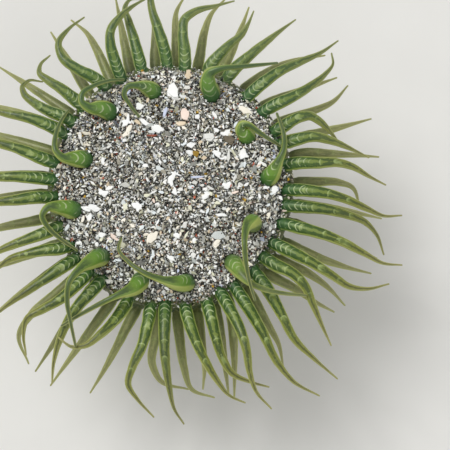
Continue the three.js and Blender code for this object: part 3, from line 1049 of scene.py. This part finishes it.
def tentacle_color(look):
    """The colour of the tentacles, and how far their markings stand out."""
    names = ("along", "reach", "facing", "flank", "seed", "tier")
    along, reach, facing, flank, seed, tier = map(look.attribute, names)
    side = flank.size()
    inner = tier.rises(0.3, 0.2)
    lower = tier.rises(0.7, 0.8)
    # Markings are laid out in millimetres along a tentacle, and across its upper face.
    wander = look.noise(look.vector(reach * 0.32, flank * 0.35, seed * 60)) - 0.5
    blotch = look.noise(look.vector(reach * 0.5, flank * 1.1, seed * 90 + 7), detail=3)
    thread = look.noise(look.vector(reach * 0.9, flank * 2.5, seed * 70 + 3), detail=4, roughness=0.65)
    uneven = look.noise(look.vector(reach * 0.2, 0.5, seed * 80), detail=3)

    # Two dark streaks run down the upper face, and meet in one beyond the middle.
    apart = 0.52 - (along + inner * 0.14).rises(0.36, 0.6) * 0.5
    streak = (side - apart + (thread - 0.5) * 1.1).size().rises(0.3, 0.2)
    streak = streak * blotch.rises(0.26, 0.4) * facing.rises(-0.1, 0.2) * along.bump(0.0, 0.08, 0.88, 1.0)
    streak = streak * (1 - inner * along.rises(0.4, 0.28))
    stem = side.rises(0.68, 0.4) * along.rises(0.28, 0.42) * facing.rises(0.0, 0.3) * inner

    # pale saddles across the middle, each with a bright brim, and pale spots on the lower tier
    arch = reach - 1.5 * side * side + wander * 1.6
    saddle = (arch * 0.19 + uneven * 1.8 + seed * 5).part()
    top = facing.rises(0.1, 0.4) * along.bump(0.14, 0.22, 0.46, 0.7)
    top = top * (1 - inner) * blotch.rises(0.36, 0.5)
    brim = saddle.bump(0.28, 0.33, 0.36, 0.44) * side.rises(0.7, 0.52) * top
    saddle = saddle.bump(0.3, 0.36, 0.42, 0.7) * (side + (thread - 0.5) * 0.8).rises(0.62, 0.3) * top
    spot = blotch.rises(0.56, 0.64) * side.rises(0.75, 0.45) * facing.rises(0.0, 0.3) * lower

    # thin cream arcs near the root, with none on the lower tier
    arc = (arch * 0.7 + seed * 3).part()
    arc = arc.bump(0.34, 0.44, 0.52, 0.66) * side.rises(0.74, 0.6) * facing.rises(0.1, 0.4)
    near_root = reach.bump(1.6, 2.4, 6.0, 9.5) * (1 - inner) * (1 - lower)
    arc = arc * (near_root + reach.bump(4.0, 4.5, 7.6, 8.8) * inner)

    # bright edges down both sides, partly a pale marking and partly painted glow of light through the
    # thin rims, a plain underside, a dark root, and bluer green at the back
    edge = (side + along * 0.2).rises(0.84, 0.97) * facing.rises(-0.75, -0.3) * along.rises(0, 0.08)
    under = facing.rises(-0.15, -0.6)
    root = (along - inner * 0.08).rises(0.16, 0.02) * facing.rises(0.0, 0.5) * (1 - lower)
    back = look.axes()[1].rises(-10 * MM, 45 * MM) * (1 - lower)

    layers = [
        (inner, look.ramp(along, INNER_COLORS)),
        (lower, look.ramp(along, LOWER_COLORS)),
        (streak * (0.88 - lower * 0.55), look.ramp(along, STREAK_COLORS)),
        (stem * 0.65, (58, 80, 34)),
        (saddle * (0.5 - lower * 0.2), (130, 148, 74)),
        (brim * (0.7 - lower * 0.4), (162, 178, 112)),
        (spot * 0.4, (160, 162, 112)),
        (arc * blotch.rises(0.38, 0.48) * 0.95, (178, 192, 142)),
        # pale edge marking with painted glow of light through the thin rims
        (edge * 0.9, look.ramp(along, EDGE_AND_RIM_GLOW_COLORS)),
        (under * 0.6, (112, 122, 66)),
        (root * 0.75, (36, 76, 38)),
        (back * 0.3, (58, 100, 64)),
    ]
    color = look.painted(look.ramp(along, UPPER_COLORS), layers)
    return color, saddle * 0.5 + arc * 0.9 + edge * 0.5


def body_color(look, mottle):
    """The colour of the body: pale foot, olive column with pale warts, green disc with rays."""
    x, y, z = look.axes()
    bearing = y.made("ARCTAN2", x)
    radius = (x * x + y * y).made("SQRT")
    column = look.ramp(z * (1 / COLUMN_SPAN) + (mottle - 0.5) * 0.22, COLUMN_COLORS)
    stripe = (bearing * (WART_ROWS / 2)).made("COSINE").size()
    wart = look.attribute("wart").rises(0.2, 0.65)
    layers = [(stripe.rises(0.8, 0.98) * 0.22, (92, 88, 56)), (wart * 0.75, (176, 180, 134))]
    column = look.painted(column, layers)
    rays = (bearing * DISC_RAYS).made("COSINE").size().rises(0.86, 0.98)
    disc = look.mix(rays * 0.4, (60, 76, 40), (96, 108, 66))
    margin, dish = (z.rises(*heights) * radius.rises(*radii) for heights, radii in GREEN_PARTS)
    return look.mix(margin + dish, column, disc)


def flesh_look():
    """The material of the skin."""
    look = Look("anemone_flesh")
    place = look.place()
    mottle = look.noise(place, 420, detail=4)
    fine = look.noise(place, 2600, detail=3)
    tentacles, relief = tentacle_color(look)
    color = look.mix(look.attribute("arm").rises(0.25, 0.75), body_color(look, mottle), tentacles)

    # Each tentacle is a little lighter or darker than the next, and all flesh is mottled.
    own = look.noise(look.vector(look.attribute("seed") * 400, 0.5, 0.5))
    tone = own + (mottle - 0.5) * 0.35 + (fine - 0.5) * 0.25
    pale, dark = tone.rises(0.52, 0.9), tone.rises(0.48, 0.14)
    color = look.painted(color, [(pale * 0.28, (178, 184, 116)), (dark * 0.32, (40, 54, 24))])

    look.set("Subsurface Weight", 0.12)
    look.set("Subsurface Radius", (0.9, 1.0, 0.5))
    look.set("Subsurface Scale", 0.8 * MM)
    look.set_gloss(0.35, 0.1)
    height = mottle * 0.4 + fine * 0.6 + relief
    return look.finish(color, 0.42 + (mottle - 0.5) * 0.2, height, 0.35, 0.25 * MM)


def sand_look(name, loose):
    """The material of the loose grains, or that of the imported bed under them."""
    look = Look(name)
    place = look.place()
    grit = look.noise(place, 3800, detail=3)
    patch = look.noise(place, 150)
    tone = look.attribute("tone") if loose else look.cells(place, 1500)
    tint = look.attribute("tint") if loose else look.noise(place, 900)
    grey = look.ramp(tone + (grit - 0.5) * 0.26 + (patch - 0.5) * 0.06, SAND_GREYS)
    color = look.mix(1.0, grey, look.ramp(tint, SAND_HUES, "CONSTANT"), blend="MULTIPLY")
    # Painted shade: the bed under the loose grains is darkened nearly to black, as the shade in the gaps
    # between them.
    if not loose:
        color = look.mix(0.8, color, (16, 16, 14))
    look.set_gloss(0.3, 0.08)
    return look.finish(color, 0.5 + (grit - 0.5) * 0.4, grit, 0.25, 0.12 * MM)


# ---- Studio ----
def put(name, data, place, facing):
    """A camera or a lamp at a place, turned to face in a direction."""
    made = bpy.data.objects.new(name, data)
    made.location = place
    made.rotation_mode = "QUATERNION"
    made.rotation_quaternion = facing.to_track_quat("-Z", "Y")
    bpy.context.scene.collection.objects.link(made)
    return made


def make_camera():
    """The photo's viewpoint, with the crown where it is in the photo's frame."""
    data = bpy.data.cameras.new("camera")
    data.angle = 2 * math.atan(PICTURE_WIDTH / 2 / CAMERA_DISTANCE)
    data.clip_start = 0.01
    data.clip_end = 20
    forward = Vector((0, math.cos(LOOK_DOWN), -math.sin(LOOK_DOWN)))
    right = Vector((1, 0, 0))
    above = right.cross(forward)
    target = Vector((0, 0, DISC_TOP)) + right * CROWN_LEFT - above * CROWN_ABOVE
    camera = put("camera", data, target - forward * CAMERA_DISTANCE, forward)
    bpy.context.scene.camera = camera


def area_light(name, place, size, power):
    data = bpy.data.lights.new(name, "AREA")
    data.shape = "DISK"
    data.size = size
    data.energy = power
    put(name, data, place, Vector(LIT_PLACE) - Vector(place))


def make_world():
    """A plain studio, white to the camera and in reflections, and dimmer as a light."""
    world = bpy.data.worlds.new("studio")
    bpy.context.scene.world = world
    world.use_nodes = True
    nodes = world.node_tree.nodes
    path = nodes.new("ShaderNodeLightPath").outputs
    camera, glossy = Value(nodes, path["Is Camera Ray"]), Value(nodes, path["Is Glossy Ray"])
    inputs = {"Value": camera.made("MAXIMUM", glossy), "To Min": WORLD_LIGHT, "To Max": 1}
    background = nodes["Background"].inputs
    plug(background["Strength"], added(nodes, "ShaderNodeMapRange", inputs))
    plug(background["Color"], (1, 1, 1, 1))


def make_floor():
    look = Look("floor_paper")
    grain = look.noise(look.place(), 60, detail=3)
    color = look.mix(grain, (226, 225, 221), (232, 231, 227))
    material = look.finish(color, 0.9 + (grain - 0.5) * 0.05, grain, 0.05, 0.2 * MM)
    square = [(-1, -1, 0), (1, -1, 0), (1, 1, 0), (-1, 1, 0)]
    floor = new_object("floor", np.array(square) * FLOOR_REACH, [(0, 1, 2, 3)])
    floor.data.materials.append(material)


# ---- Assembly ----
bpy.context.scene.view_settings.view_transform = "Standard"
make_camera()
make_world()
for light in LIGHTS:
    area_light(*light)
make_floor()

skin = make_skin(all_lines(), flesh_look())
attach(skin, "root")
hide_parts(*FLESH_NODES)

skin_tree = BVHTree.FromObject(skin, bpy.context.evaluated_depsgraph_get())
profile = sand_profile()
bed = make_bed(profile)
bed.data.materials.append(sand_look("packed_sand_painted_shade", False))
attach(bed, "root")
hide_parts("sand_cover")

pieces = make_grains(profile, skin_tree)
pieces.append(make_rim_grains(skin, skin_tree))
pieces.append(make_column_grains(skin))
loose_sand = sand_look("shell_sand", True)
for piece in pieces:
    piece.data.materials.append(loose_sand)
    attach(piece, "root")
